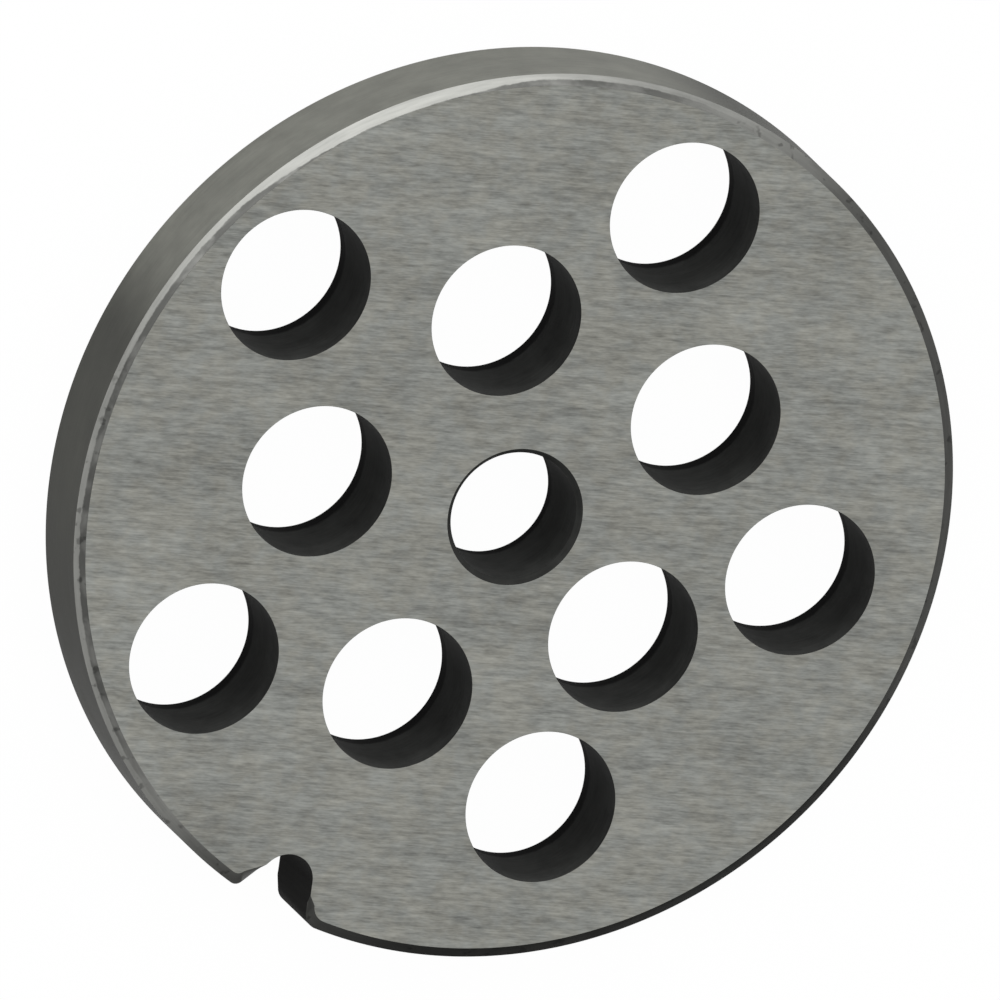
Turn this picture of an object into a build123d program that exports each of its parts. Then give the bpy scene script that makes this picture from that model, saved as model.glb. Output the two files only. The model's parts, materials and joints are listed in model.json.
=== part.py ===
from build123d import *

import os
from math import radians, sin, tan

# Plate of a meat grinder: one flat disc of hardened steel, ground on both faces.
# It lies on its lower face, the bore's axis is Z, and the key notch points along -Y.
# The knife sweeps over the upper face, so the feed holes meet it with sharp edges.

# Disc, turned and ground. The rim's chamfers are flat ones: their width is measured inwards on
# the faces, and their depth down the rim.
plate_diameter = 70.0
plate_thickness = 7.5
rim_chamfer_width = 0.8
rim_chamfer_depth = 0.45

# Bore, where the end stud of the feed screw turns
bore_diameter = 10.0
bore_chamfer = 0.4

# Key notch, milled into the rim: a V with a round bottom, its mouth's corners rounded off.
# Each wall's angle is measured from the notch's centre line.
notch_depth = 4.5
notch_wall_angle = 26.0
notch_bottom_radius = 2.1
notch_mouth_radius = 1.3

# Feed holes. The diameter is the one at the cutting face, and the relief is how much further
# out the wall stands at the back, so that the meat comes free. A hole's reach is its distance
# from the bore's axis as a share of the plate's radius, and its angle is counted from the key
# notch, anticlockwise as seen from above.
hole_diameter = 11.9
hole_relief = 0.1
inner_reaches = (0.459, 0.387, 0.467, 0.450, 0.469)
inner_angles = (-1.7, 73.3, 145.9, 216.5, 287.8)
outer_reaches = (0.669, 0.682, 0.747, 0.767, 0.749)
outer_angles = (38.9, 105.7, 182.9, 254.5, 323.1)

plate_radius = plate_diameter / 2
hole_radius = hole_diameter / 2
notch_direction = -90.0

# The notch's walls would meet at its tip, and they run on past the rim to its end
wall_angle = radians(notch_wall_angle)
notch_tip = plate_radius - notch_depth + notch_bottom_radius - notch_bottom_radius / sin(wall_angle)
notch_end = plate_radius + notch_mouth_radius
notch_end_half_width = (notch_end - notch_tip) * tan(wall_angle)

with BuildPart() as grinder_plate:
    with BuildSketch() as outline:
        Circle(plate_radius)
        with BuildLine():
            notch_walls = FilletPolyline(
                (-notch_end_half_width, -notch_end),
                (0, -notch_tip),
                (notch_end_half_width, -notch_end),
                radius=notch_bottom_radius,
            )
            Line(notch_walls @ 1, notch_walls @ 0)
        make_face(mode=Mode.SUBTRACT)
        mouth_corners = outline.vertices().group_by(Axis.Y)[0]
        fillet(mouth_corners, radius=notch_mouth_radius)
    extrude(amount=plate_thickness)

    # Both edges of the rim are chamfered on the lathe, so the notch cuts through the chamfers
    with BuildSketch(Plane.XZ) as rim_bevels:
        with BuildLine():
            Polyline(
                (plate_radius - 2 * rim_chamfer_width, plate_thickness + rim_chamfer_depth),
                (plate_radius + rim_chamfer_width, plate_thickness + rim_chamfer_depth),
                (plate_radius + rim_chamfer_width, plate_thickness - 2 * rim_chamfer_depth),
                close=True,
            )
        make_face()
        mirror(about=Plane.XZ.offset(-plate_thickness / 2))
    revolve(axis=Axis.Z, mode=Mode.SUBTRACT)

    Hole(bore_diameter / 2)
    chamfer(grinder_plate.edges(Select.LAST).filter_by(GeomType.CIRCLE), length=bore_chamfer)

    for reach, angle in zip(inner_reaches + outer_reaches, inner_angles + outer_angles):
        with PolarLocations(reach * plate_radius, 1, start_angle=notch_direction + angle):
            Cone(
                bottom_radius=hole_radius + hole_relief,
                top_radius=hole_radius,
                height=plate_thickness,
                align=(Align.CENTER, Align.CENTER, Align.MIN),
                mode=Mode.SUBTRACT,
            )

grinder_plate.part.label = "grinder_plate"

os.makedirs("parts", exist_ok=True)
export_step(grinder_plate.part, "parts/grinder_plate.step")
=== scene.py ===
import json
import math

import bmesh
import bpy
from mathutils import Matrix, Vector


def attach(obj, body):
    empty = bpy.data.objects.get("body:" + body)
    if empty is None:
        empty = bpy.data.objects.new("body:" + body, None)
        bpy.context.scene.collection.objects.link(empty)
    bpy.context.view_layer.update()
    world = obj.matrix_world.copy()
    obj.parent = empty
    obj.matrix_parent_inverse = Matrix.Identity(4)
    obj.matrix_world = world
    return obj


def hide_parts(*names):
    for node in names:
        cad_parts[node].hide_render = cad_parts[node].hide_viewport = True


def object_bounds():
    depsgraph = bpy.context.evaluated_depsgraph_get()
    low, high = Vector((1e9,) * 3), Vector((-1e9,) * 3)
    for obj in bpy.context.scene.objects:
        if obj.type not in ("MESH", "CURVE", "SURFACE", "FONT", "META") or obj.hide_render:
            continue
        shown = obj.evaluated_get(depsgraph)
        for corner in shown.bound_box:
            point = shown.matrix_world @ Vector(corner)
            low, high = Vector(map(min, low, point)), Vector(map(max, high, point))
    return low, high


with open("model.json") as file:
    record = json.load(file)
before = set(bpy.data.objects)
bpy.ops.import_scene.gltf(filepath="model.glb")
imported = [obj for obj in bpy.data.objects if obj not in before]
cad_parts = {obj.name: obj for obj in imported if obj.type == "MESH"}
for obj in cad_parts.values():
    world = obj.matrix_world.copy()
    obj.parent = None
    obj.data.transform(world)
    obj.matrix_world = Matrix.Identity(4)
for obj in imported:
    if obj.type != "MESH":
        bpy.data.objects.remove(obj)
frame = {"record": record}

cadLow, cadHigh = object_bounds()
mm = 0.001


# a node's output that can take part in sums
class Socket:
    def __init__(self, finish, link):
        self.finish = finish
        self.link = link

    def math(self, operation, *values):
        return self.finish.node("ShaderNodeMath", {"operation": operation}, dict(enumerate(values)))

    def __add__(self, other):
        return self.math("ADD", self, other)

    def __sub__(self, other):
        return self.math("SUBTRACT", self, other)

    def __mul__(self, other):
        return self.math("MULTIPLY", self, other)

    def __radd__(self, other):
        return self.math("ADD", other, self)

    def __rsub__(self, other):
        return self.math("SUBTRACT", other, self)

    def __rmul__(self, other):
        return self.math("MULTIPLY", other, self)


# the node tree of a material or of the world
class Finish:
    def __init__(self, owner):
        owner.use_nodes = True
        self.tree = owner.node_tree
        self.tree.nodes.clear()

    # adds a node: settings first, then a value or a link for each socket
    def node(self, kind, settings, sockets, output=0):
        made = self.tree.nodes.new(kind)
        for name, value in settings.items():
            setattr(made, name, value)
        for name, value in sockets.items():
            if isinstance(value, Socket):
                self.tree.links.new(value.link, made.inputs[name])
            else:
                made.inputs[name].default_value = value
        return Socket(self, made.outputs[output]) if made.outputs else None

    # soft step from 0 at low to 1 at high
    def step(self, value, low, high):
        return self.node("ShaderNodeMapRange", {"interpolation_type": "SMOOTHSTEP"},
                         {"Value": value, "From Min": low, "From Max": high})

    # noise of mean 0, with so many marks in a millimetre along x, y and z
    def noise(self, vector, rates, detail, roughness):
        made = self.node("ShaderNodeTexNoise", {}, {
            "Vector": self.stretch(vector, rates), "Scale": 1,
            "Detail": detail, "Roughness": roughness})
        return made - 0.5

    def blend(self, share, first, second):
        return self.node("ShaderNodeMix", {"data_type": "RGBA"}, {0: share, 6: first, 7: second}, 2)

    def stretch(self, vector, rates):
        return self.node("ShaderNodeVectorMath", {"operation": "MULTIPLY"}, {0: vector, 1: rates})

    # a colour made lighter or darker by a number
    def shade(self, tint, tone):
        grey = self.node("ShaderNodeCombineXYZ", {}, {0: tone, 1: tone, 2: tone})
        return self.stretch(grey, tint)

    # place on the plate in millimetres
    def place(self):
        spot = self.node("ShaderNodeTexCoord", {}, {}, "Object")
        return self.stretch(spot, (1 / mm, 1 / mm, 1 / mm))

    def along(self, vector, way):
        return self.node("ShaderNodeVectorMath", {"operation": "DOT_PRODUCT"},
                         {0: vector, 1: way}, "Value")

    # distance from the bore's axis in millimetres
    def reach(self, place):
        flat = self.stretch(place, (1, 1, 0))
        return self.node("ShaderNodeVectorMath", {"operation": "LENGTH"}, {0: flat}, "Value")

    # 1 on the side that this angle from +X points to, falling to 0 away from it; low and high
    # are the cosines of how far round the falling ends and starts
    def side(self, place, degrees, low, high):
        flat = self.stretch(place, (1, 1, 0))
        way = self.node("ShaderNodeVectorMath", {"operation": "NORMALIZE"}, {0: flat})
        angle = math.radians(degrees)
        return self.step(self.along(way, (math.cos(angle), math.sin(angle), 0)), low, high)

    def relief(self, look, height):
        return self.node("ShaderNodeBump", {}, {
            "Strength": look["bump"], "Distance": look["bumpDepth"], "Height": height})

    def surface(self, sockets):
        shader = self.node("ShaderNodeBsdfPrincipled", {}, sockets)
        self.node("ShaderNodeOutputMaterial", {}, {"Surface": shader})


def newMaterial(name):
    material = bpy.data.materials.new(name)
    return material, Finish(material)


def grey(value):
    return (value, value, value, 1)


plate = {
    "rimChamferWidth": 0.8 * mm,      # on the face
    "rimChamferDepth": 0.45 * mm,     # down the rim
    "notchDepth": 4.5 * mm,
    "notchBottomRadius": 2.1 * mm,
    # the notch's walls, each at its angle in degrees from the centre line, and the corners of
    # its mouth, broken by filing: the bevel is its width on the cutting face, and it runs out
    # over the taper's length of wall
    "left": {"angle": 21, "mouthRadius": 0.7 * mm, "bevel": 0.75 * mm, "taper": 1.6 * mm},
    "right": {"angle": 26, "mouthRadius": 1.3 * mm, "bevel": 0.45 * mm, "taper": 0.8 * mm},
    "boreRadius": 5.0 * mm,
    "boreChamfer": 0.4 * mm,
    "holeRadius": 5.95 * mm,          # at the cutting face
    "holeRelief": 0.1 * mm,           # how much wider a hole is at the back
    "reaches": (0.459, 0.387, 0.467, 0.450, 0.469,       # shares of the plate's radius
                0.669, 0.682, 0.747, 0.767, 0.749),
    "angles": (-1.7, 73.3, 145.9, 216.5, 287.8,          # degrees from the notch
               38.9, 105.7, 182.9, 254.5, 323.1),
    "edgeBreak": 0.02 * mm,           # what lapping leaves of a sharp edge
    "sharpAngle": 30,                 # edges past this many degrees are shaded sharp
    "rimSteps": 480,
    "chamferSteps": 4,
    "holeSteps": 128,
    "notchBottomSteps": 14,
    "notchMouthSteps": 10,
}

thickness = cadHigh.z - cadLow.z
mounts = {mount["name"]: mount for mount in frame["record"]["mounts"]}
rimRadius = mounts["rim"]["dims"]["r_mm"] * mm
notchWay = -90                        # degrees from +X
ground, turned, chamfered, drilled, milled = range(5)    # places of the plate's materials


# one side of the notch seen from above, from its bottom out to a rim of this radius, drawn on
# the right; the bottom stands grow further out, and share of the corner's bevel is cut away
def notchSide(radius, grow, share, wall):
    lean = math.radians(wall["angle"])
    wallWay = Vector((math.sin(lean), -math.cos(lean)))
    intoSteel = Vector((math.cos(lean), math.sin(lean)))
    bottom, mouth = plate["notchBottomRadius"], wall["mouthRadius"]
    bevel = wall["bevel"] * share
    centre = Vector((0, plate["notchDepth"] - rimRadius - bottom))
    # the mouth's rounding touches the wall and, from inside, the rim
    start = centre + intoSteel * (bottom + bevel + mouth)
    slide = start.dot(wallWay)
    reach = radius - mouth
    turn = start + wallWay * (math.sqrt(slide ** 2 - start.length_squared + reach ** 2) - slide)
    points = arc(centre, bottom + grow, math.pi / 2, lean, plate["notchBottomSteps"])
    points.append(turn - intoSteel * (mouth + bevel - grow) - wallWay * wall["taper"])
    last = math.atan2(turn.y, turn.x)
    return points + arc(turn, mouth, lean - math.pi, last, plate["notchMouthSteps"])


def arc(centre, radius, first, last, steps):
    turns = [first + (last - first) * step / steps for step in range(steps + 1)]
    return [Vector((centre[0] + radius * math.cos(turn), centre[1] + radius * math.sin(turn)))
            for turn in turns]


# the plate's outline where its rim has been cut back by inset, the rim's own steps first
def outline(inset, grow, share):
    radius = rimRadius - inset
    right = notchSide(radius, grow, share, plate["right"])
    left = notchSide(radius, grow, share, plate["left"])
    left = [Vector((-spot.x, spot.y)) for spot in reversed(left)]
    start = math.atan2(right[-1].y, right[-1].x)
    end = math.tau + math.atan2(left[0].y, left[0].x)
    rimPoints = arc((0, 0), radius, start, end, plate["rimSteps"])
    return rimPoints[:-1] + left + right[1:-1]


def circle(centre, radius):
    return arc(centre, radius, math.tau, 0, plate["holeSteps"])[:-1]


# joins closed loops, given from the back face up, and returns the lowest and the highest; the
# bands lie between the loops, and each holds the materials of its faces
def makeWall(mesh, levels, bands):
    rings = [[mesh.verts.new((*spot, z)) for spot in points] for points, z in levels]
    for low, high, band in zip(rings, rings[1:], bands):
        for index, slot in enumerate(band):
            after = (index + 1) % len(low)
            side = mesh.faces.new((low[index], low[after], high[after], high[index]))
            side.material_index = slot
    return rings[0], rings[-1]


def rimBand(slot, mouthSlot):
    mouth = [mouthSlot] * (plate["notchMouthSteps"] + 1)
    wall = [milled] * (2 * plate["notchBottomSteps"] + 2)
    return [slot] * plate["rimSteps"] + mouth + wall + mouth


def makeRim(mesh):
    width, depth = plate["rimChamferWidth"], plate["rimChamferDepth"]
    edge, steps = plate["edgeBreak"], plate["chamferSteps"]
    levels = [(outline(width, edge, 0), 0)]
    for step in range(steps + 1):
        share = step / steps
        levels.append((outline(width * (1 - share), 0, 0), max(depth * share, edge)))
    for step in range(steps + 1):
        share = step / steps
        high = thickness - max(depth * (1 - share), edge)
        levels.append((outline(width * share, 0, share), high))
    levels.append((outline(width, edge, 1), thickness))
    back, land, front = [rimBand(*slots) for slots in (
        (chamfered, milled), (turned, milled), (chamfered, chamfered))]
    return makeWall(mesh, levels, [back] * (steps + 1) + [land] + [front] * (steps + 1))


def makeHole(mesh, centre):
    radius, relief, edge = plate["holeRadius"], plate["holeRelief"], plate["edgeBreak"]
    back = radius + relief
    levels = [(circle(centre, back + edge), 0),
              (circle(centre, back), edge),
              (circle(centre, radius), thickness - edge),
              (circle(centre, radius + edge), thickness)]
    return makeWall(mesh, levels, [[drilled] * plate["holeSteps"]] * 3)


def makeBore(mesh):
    radius, chamfer = plate["boreRadius"], plate["boreChamfer"]
    wide, narrow = circle((0, 0), radius + chamfer), circle((0, 0), radius)
    levels = [(wide, 0), (narrow, chamfer), (narrow, thickness - chamfer), (wide, thickness)]
    return makeWall(mesh, levels, [[drilled] * plate["holeSteps"]] * 3)


def holeCentres():
    for share, angle in zip(plate["reaches"], plate["angles"]):
        way = math.radians(notchWay + angle)
        yield share * rimRadius * math.cos(way), share * rimRadius * math.sin(way)


def makePlate():
    mesh = bmesh.new()
    loops = [makeRim(mesh), makeBore(mesh)] + [makeHole(mesh, centre) for centre in holeCentres()]
    for level, up in ((0, -1), (1, 1)):
        edges = []
        for loop in loops:
            ring = loop[level]
            edges += [mesh.edges.get((ring[index - 1], ring[index])) for index in range(len(ring))]
        made = bmesh.ops.triangle_fill(mesh, use_beauty=True, edges=edges, normal=(0, 0, up))
        for item in made["geom"]:
            if isinstance(item, bmesh.types.BMFace):
                item.material_index = ground
    bmesh.ops.recalc_face_normals(mesh, faces=mesh.faces)
    data = bpy.data.meshes.new("plate")
    mesh.to_mesh(data)
    mesh.free()
    data.polygons.foreach_set("use_smooth", [True] * len(data.polygons))
    data.set_sharp_from_angle(angle=math.radians(plate["sharpAngle"]))
    piece = bpy.data.objects.new("plate", data)
    bpy.context.scene.collection.objects.link(piece)
    return piece


# In each finish, the marks of a kind give noise its rates, detail and roughness, and the number
# under the plain name of that kind says how strongly they show
groundSteel = {
    "tint": (0.294, 0.302, 0.284),
    "warmTint": (0.305, 0.304, 0.274),
    "warmMarks": ((0.5, 0.5, 1), 3, 0.6),
    "warmEdge": 0.15,                 # half the width of the change between the tints
    "grainWay": 24,                   # degrees from +X
    "hairlines": 0.62,
    "hairlineMarks": ((0.5, 12.0, 1), 2, 0.6),
    "streaks": 1.05,
    "streakMarks": ((0.8, 3.4, 1), 2, 0.65),
    "longStreaks": 0.3,               # against the short ones
    "longStreakMarks": ((0.2, 2.4, 1), 1, 0.5),
    "bands": 0.3,
    "bandMarks": ((0.06, 0.5, 1), 2, 0.5),
    "clouds": 0.5,
    "cloudMarks": ((0.12, 0.12, 1), 4, 0.6),
    "roughness": 0.38,
    "roughStreaks": 0.1,              # what streaks and clouds add to the roughness
    "roughClouds": 0.15,
    "bump": 0.3,
    "bumpDepth": 0.02 * mm,
    "bumpStreaks": 0.5,               # height of a streak against that of a hairline
}


# both faces, ground along one direction
def groundFinish():
    look = groundSteel
    material, finish = newMaterial("ground steel")
    place = finish.place()
    grain = finish.node("ShaderNodeVectorRotate", {"rotation_type": "Z_AXIS"},
                        {"Vector": place, "Angle": math.radians(-look["grainWay"])})
    hairlines = finish.noise(grain, *look["hairlineMarks"])
    streaks = (finish.noise(grain, *look["streakMarks"])
               + look["longStreaks"] * finish.noise(grain, *look["longStreakMarks"]))
    bands = finish.noise(grain, *look["bandMarks"])
    clouds = finish.noise(place, *look["cloudMarks"])
    warmth = finish.noise(place, *look["warmMarks"])
    tone = (1 + look["hairlines"] * hairlines + look["streaks"] * streaks
            + look["bands"] * bands + look["clouds"] * clouds)
    warm = finish.step(warmth, -look["warmEdge"], look["warmEdge"])
    tint = finish.blend(warm, (*look["tint"], 1), (*look["warmTint"], 1))
    finish.surface({
        "Base Color": finish.shade(tint, tone), "Metallic": 1.0,
        "Roughness": (look["roughness"] + look["roughStreaks"] * streaks
                      + look["roughClouds"] * clouds),
        "Normal": finish.relief(look, hairlines + look["bumpStreaks"] * streaks)})
    return material


# A side is its middle in degrees from +X, and the cosines that Finish.side takes
turnedRim = {
    "tint": (0.185, 0.187, 0.166),
    "litSide": (138, 0.68, 0.86),    # painted light: the side facing the light is lighter
    "paintedShade": 0.36,                   # painted shade: the tone away from the lit side
    "deepShadeSide": (240, 0.8, 0.97),    # where the painted shade is deepest
    "deepShade": 0.72,                    # tone there against the rest
    "lines": 0.35,
    "lineMarks": ((0.2, 0.2, 9.0), 3, 0.6),
    "patches": 0.7,
    "patchMarks": ((0.35, 0.35, 0.5), 4, 0.6),
    "metallic": 0.3,
    "roughness": 0.5,
    "roughPatches": 0.2,              # what patches add to the roughness
    "specular": 0.1,
    "specularTint": 0.4,
    "bump": 0.3,
    "bumpDepth": 0.03 * mm,
}


# the rim's straight land, turned and darkened by the hardening, with painted light on the side
# facing the light and painted shade elsewhere
def turnedFinish():
    look = turnedRim
    material, finish = newMaterial("turned rim")
    place = finish.place()
    lines = finish.noise(place, *look["lineMarks"])
    patches = finish.noise(place, *look["patchMarks"])
    facingLight = finish.side(place, *look["litSide"])
    deepShade = finish.side(place, *look["deepShadeSide"])
    # turned marks, then painted light on the lit side and painted shade on the others
    tone = ((1 + look["lines"] * lines + look["patches"] * patches)
            * (look["paintedShade"] + (1 - look["paintedShade"]) * facingLight)
            * (1 - (1 - look["deepShade"]) * deepShade))
    finish.surface({
        "Base Color": finish.shade(look["tint"], tone), "Metallic": look["metallic"],
        "Roughness": look["roughness"] + look["roughPatches"] * patches,
        "Specular IOR Level": look["specular"], "Specular Tint": grey(look["specularTint"]),
        "Normal": finish.relief(look, lines)})
    return material


turnedChamfer = {
    "tint": (0.30, 0.302, 0.285),
    "lines": 0.5,
    "lineMarks": ((0.3, 0.3, 7.0), 3, 0.6),
    "patches": 0.3,
    "patchMarks": ((0.4, 0.4, 0.5), 4, 0.6),
    "litSide": (141, 0.93, 0.998),   # the side facing the light, where the dark line is narrower
    "threadSide": (170, 0.1, 0.5),    # where a dark line lies in the inner half
    "thread": 0.65,                   # how far it darkens that half
    "threadEdge": (0.38, 0.48),       # its ragged edge, in mm from the chamfer's inner one
    "threadNarrowing": 0.4,                # how much narrower in mm the dark line is on the side facing the light
    "threadRagged": 0.25,             # how far in mm its edge strays
    "threadMarks": ((0.8, 0.8, 1), 3, 0.7),
    "threadPatches": 0.4,             # how much fainter it is between its patches
    "threadPatchMarks": ((0.3, 0.3, 1), 3, 0.6),
    "threadPatchEdge": (-0.12, 0.08),
    "specks": 0.4,                    # how far nicks full of scale darken it
    "speckMarks": ((1.2, 1.2, 1.2), 2, 0.5),
    "speckEdge": (0.09, 0.2),
    "cleanSide": (141, 0.6, 0.8),     # where there are no nicks
    "paintedShadeSide": (-52, 0.45, 0.75),  # painted shade: the side that is darkest
    "paintedShade": 0.32,                   # tone of the painted shade there
    "dimShadeSide": (0, -0.1, 0.4),       # painted shade: where it is dimmer
    "dimShade": 0.31,                     # tone there
    "roughness": 0.35,
    "roughPatches": 0.15,             # what patches add to the roughness
}


# the turned chamfer, with painted shade on its sides away from the light
def chamferFinish():
    look = turnedChamfer
    material, finish = newMaterial("turned chamfer")
    place = finish.place()
    lines = finish.noise(place, *look["lineMarks"])
    patches = finish.noise(place, *look["patchMarks"])
    inner = (rimRadius - plate["rimChamferWidth"]) / mm
    ragged = finish.reach(place) + look["threadRagged"] * finish.noise(place, *look["threadMarks"])
    facingLight = finish.side(place, *look["litSide"])
    near, far = look["threadEdge"]
    thread = 1 - finish.step(ragged + look["threadNarrowing"] * facingLight, inner + near, inner + far)
    patchy = finish.step(finish.noise(place, *look["threadPatchMarks"]), *look["threadPatchEdge"])
    thread = (thread * finish.side(place, *look["threadSide"])
              * (1 - look["threadPatches"] + look["threadPatches"] * patchy))
    specks = finish.step(finish.noise(place, *look["speckMarks"]), *look["speckEdge"])
    specks = specks * (1 - finish.side(place, *look["cleanSide"]))
    paintedShade = finish.side(place, *look["paintedShadeSide"])
    dimShade = finish.side(place, *look["dimShadeSide"])
    # turned marks, the dark line and nicks, then painted shade on two sides
    tone = ((1 + look["lines"] * lines + look["patches"] * patches)
            * (1 - look["thread"] * thread) * (1 - look["specks"] * specks)
            * (1 - (1 - look["paintedShade"]) * paintedShade) * (1 - (1 - look["dimShade"]) * dimShade))
    finish.surface({
        "Base Color": finish.shade(look["tint"], tone), "Metallic": 1.0,
        "Roughness": look["roughness"] + look["roughPatches"] * patches})
    return material


holeScale = {
    "tint": (0.021, 0.0215, 0.0205),
    "rings": 0.7,
    "ringMarks": ((0.3, 0.3, 6.0), 3, 0.6),
    "patches": 1.0,
    "patchMarks": ((0.5, 0.5, 0.5), 4, 0.6),
    "backShadeBand": (0.975, 1.495),       # height in mm where the painted shade, deepest at the back, ends
    "backShadeTone": 0.06,                 # tone of the painted shade there
    "bandStray": 0.6,                 # how far in mm its edge strays
    "litTopBand": (4.0, 7.5),            # height in mm over which painted light makes the wall lighter toward the cutting face
    "litTopTones": (0.92, 0.45),         # tone below that, and what the painted light adds
    "litWallWay": (-0.56, 0.83, 0),    # where the wall side with painted light faces
    "litWallEdge": (0.6, 1.0),
    "litWall": 0.4,                    # how much lighter the painted light makes it
    "roughness": 0.7,
    "specular": 0.02,
    "bump": 0.4,
    "bumpDepth": 0.04 * mm,
}


# hole walls, black with scale, with the rings that the drill left, painted shade at the back, and
# painted light toward the cutting face and on the side facing the light
def drilledFinish():
    look = holeScale
    material, finish = newMaterial("drilled wall")
    place = finish.place()
    rings = finish.noise(place, *look["ringMarks"])
    patches = finish.noise(place, *look["patchMarks"])
    height = finish.along(place, (0, 0, 1)) + look["bandStray"] * patches
    band = finish.step(height, *look["backShadeBand"])
    base, gain = look["litTopTones"]
    # painted light: the side of a wall that faces the light is lighter
    facing = finish.along(finish.node("ShaderNodeTexCoord", {}, {}, "Normal"), look["litWallWay"])
    litWall = finish.step(facing, *look["litWallEdge"])
    tone = ((1 + look["rings"] * rings + look["patches"] * patches)
            * (look["backShadeTone"] + (1 - look["backShadeTone"]) * band)
            * (base + gain * finish.step(height, *look["litTopBand"]))
            * (1 + look["litWall"] * litWall))
    finish.surface({
        "Base Color": finish.shade(look["tint"], tone), "Roughness": look["roughness"],
        "Specular IOR Level": look["specular"],
        "Normal": finish.relief(look, rings + patches)})
    return material


notchScale = {
    "tint": (0.0105, 0.0103, 0.0099),
    "milling": 0.8,
    "millingMarks": ((3.0, 3.0, 0.25), 3, 0.6),
    "roughness": 0.7,
    "specular": 0.02,
    "bump": 0.4,
    "bumpDepth": 0.04 * mm,
}


# the notch's wall, black with scale over upright milling marks
def milledFinish():
    look = notchScale
    material, finish = newMaterial("milled wall")
    marks = finish.noise(finish.place(), *look["millingMarks"])
    finish.surface({
        "Base Color": finish.shade(look["tint"], 1 + look["milling"] * marks),
        "Roughness": look["roughness"], "Specular IOR Level": look["specular"],
        "Normal": finish.relief(look, marks)})
    return material


piece = makePlate()
for make in (groundFinish, turnedFinish, chamferFinish, drilledFinish, milledFinish):
    piece.data.materials.append(make())
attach(piece, "root")
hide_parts("grinder_plate")
print("plate made,", len(piece.data.polygons), "faces")


studio = {
    "floorSize": 6.0,
    "floorGap": 0.01 * mm,            # under the plate
    "floorColour": 0.9,
    "floorGlow": 0.98,                # share of plain white in what is seen of the floor
    "zenith": 0.78,
    "horizon": 1.0,
    "darkHorizon": 0.25,
    "brightSide": (108, -0.7, 0.7),   # where the horizon is bright, as a side
    "horizonBand": (0.05, 0.75),      # height over which the horizon gives way to the zenith
    "keyWay": (-0.38, 0.49, 0.785),
    "keyPower": 1.75,
    "keyWidth": 0.65,
    "keyHeight": 0.6,
    "keyReach": 0.6,
}


def makeFloor():
    bpy.ops.mesh.primitive_plane_add(
        size=studio["floorSize"], location=(0, 0, cadLow.z - studio["floorGap"]))
    floor = bpy.context.object
    floor.name = "floor"
    material, finish = newMaterial("floor")
    camera, glossy, through = [finish.node("ShaderNodeLightPath", {}, {}, ray) for ray in (
        "Is Camera Ray", "Is Glossy Ray", "Is Transmission Ray")]
    seen = camera.math("MAXIMUM", camera.math("MAXIMUM", camera, glossy), through)
    pale = finish.node("ShaderNodeBsdfDiffuse", {}, {"Color": grey(studio["floorColour"])})
    white = finish.node("ShaderNodeEmission", {}, {"Strength": 1.0})
    mixed = finish.node("ShaderNodeMixShader", {},
                        {0: seen * studio["floorGlow"], 1: pale, 2: white})
    finish.node("ShaderNodeOutputMaterial", {}, {"Surface": mixed})
    floor.data.materials.append(material)


def makeWorld():
    world = bpy.data.worlds.new("studio")
    bpy.context.scene.world = world
    finish = Finish(world)
    way = finish.node("ShaderNodeTexCoord", {}, {}, "Generated")
    height = finish.along(way, (0, 0, 1))
    bright = finish.side(way, *studio["brightSide"])
    horizon = finish.blend(bright, grey(studio["darkHorizon"]), grey(studio["horizon"]))
    raised = finish.step(height, *studio["horizonBand"])
    sky = finish.blend(raised, horizon, grey(studio["zenith"]))
    light = finish.node("ShaderNodeBackground", {}, {"Color": sky, "Strength": 1.0})
    finish.node("ShaderNodeOutputWorld", {}, {"Surface": light})


def makeKey():
    lamp = bpy.data.lights.new("key", "AREA")
    lamp.shape = "RECTANGLE"
    lamp.energy = studio["keyPower"]
    lamp.size, lamp.size_y = studio["keyWidth"], studio["keyHeight"]
    way = Vector(studio["keyWay"]).normalized()
    holder = bpy.data.objects.new("key", lamp)
    holder.location = way * studio["keyReach"]
    holder.rotation_euler = way.to_track_quat("Z", "Y").to_euler()
    bpy.context.scene.collection.objects.link(holder)


# back points from the plate to the camera
view = {
    "right": (0.786, 0.5298, 0.3185),
    "back": (-0.431, 0.1004, 0.8967),
    "aside": -1.1425 * mm,            # from the middle of the cutting face to what is looked at
    "above": 1.2833 * mm,
    "width": 75.44 * mm,
    "distance": 0.3,
    "clip": (0.01, 10),
}


def makeCamera():
    right = Vector(view["right"]).normalized()
    back = Vector(view["back"])
    back = (back - right * back.dot(right)).normalized()
    up = back.cross(right)
    middle = Vector((0, 0, thickness)) + right * view["aside"] + up * view["above"]
    camera = bpy.data.cameras.new("camera")
    camera.type = "ORTHO"
    camera.ortho_scale = view["width"]
    camera.clip_start, camera.clip_end = view["clip"]
    holder = bpy.data.objects.new("camera", camera)
    turn = Matrix((right, up, back)).transposed().to_4x4()
    holder.matrix_world = Matrix.Translation(middle + back * view["distance"]) @ turn
    bpy.context.scene.collection.objects.link(holder)
    bpy.context.scene.camera = holder


makeFloor()
makeWorld()
makeKey()
makeCamera()
bpy.context.scene.view_settings.view_transform = "Standard"
print("studio made")
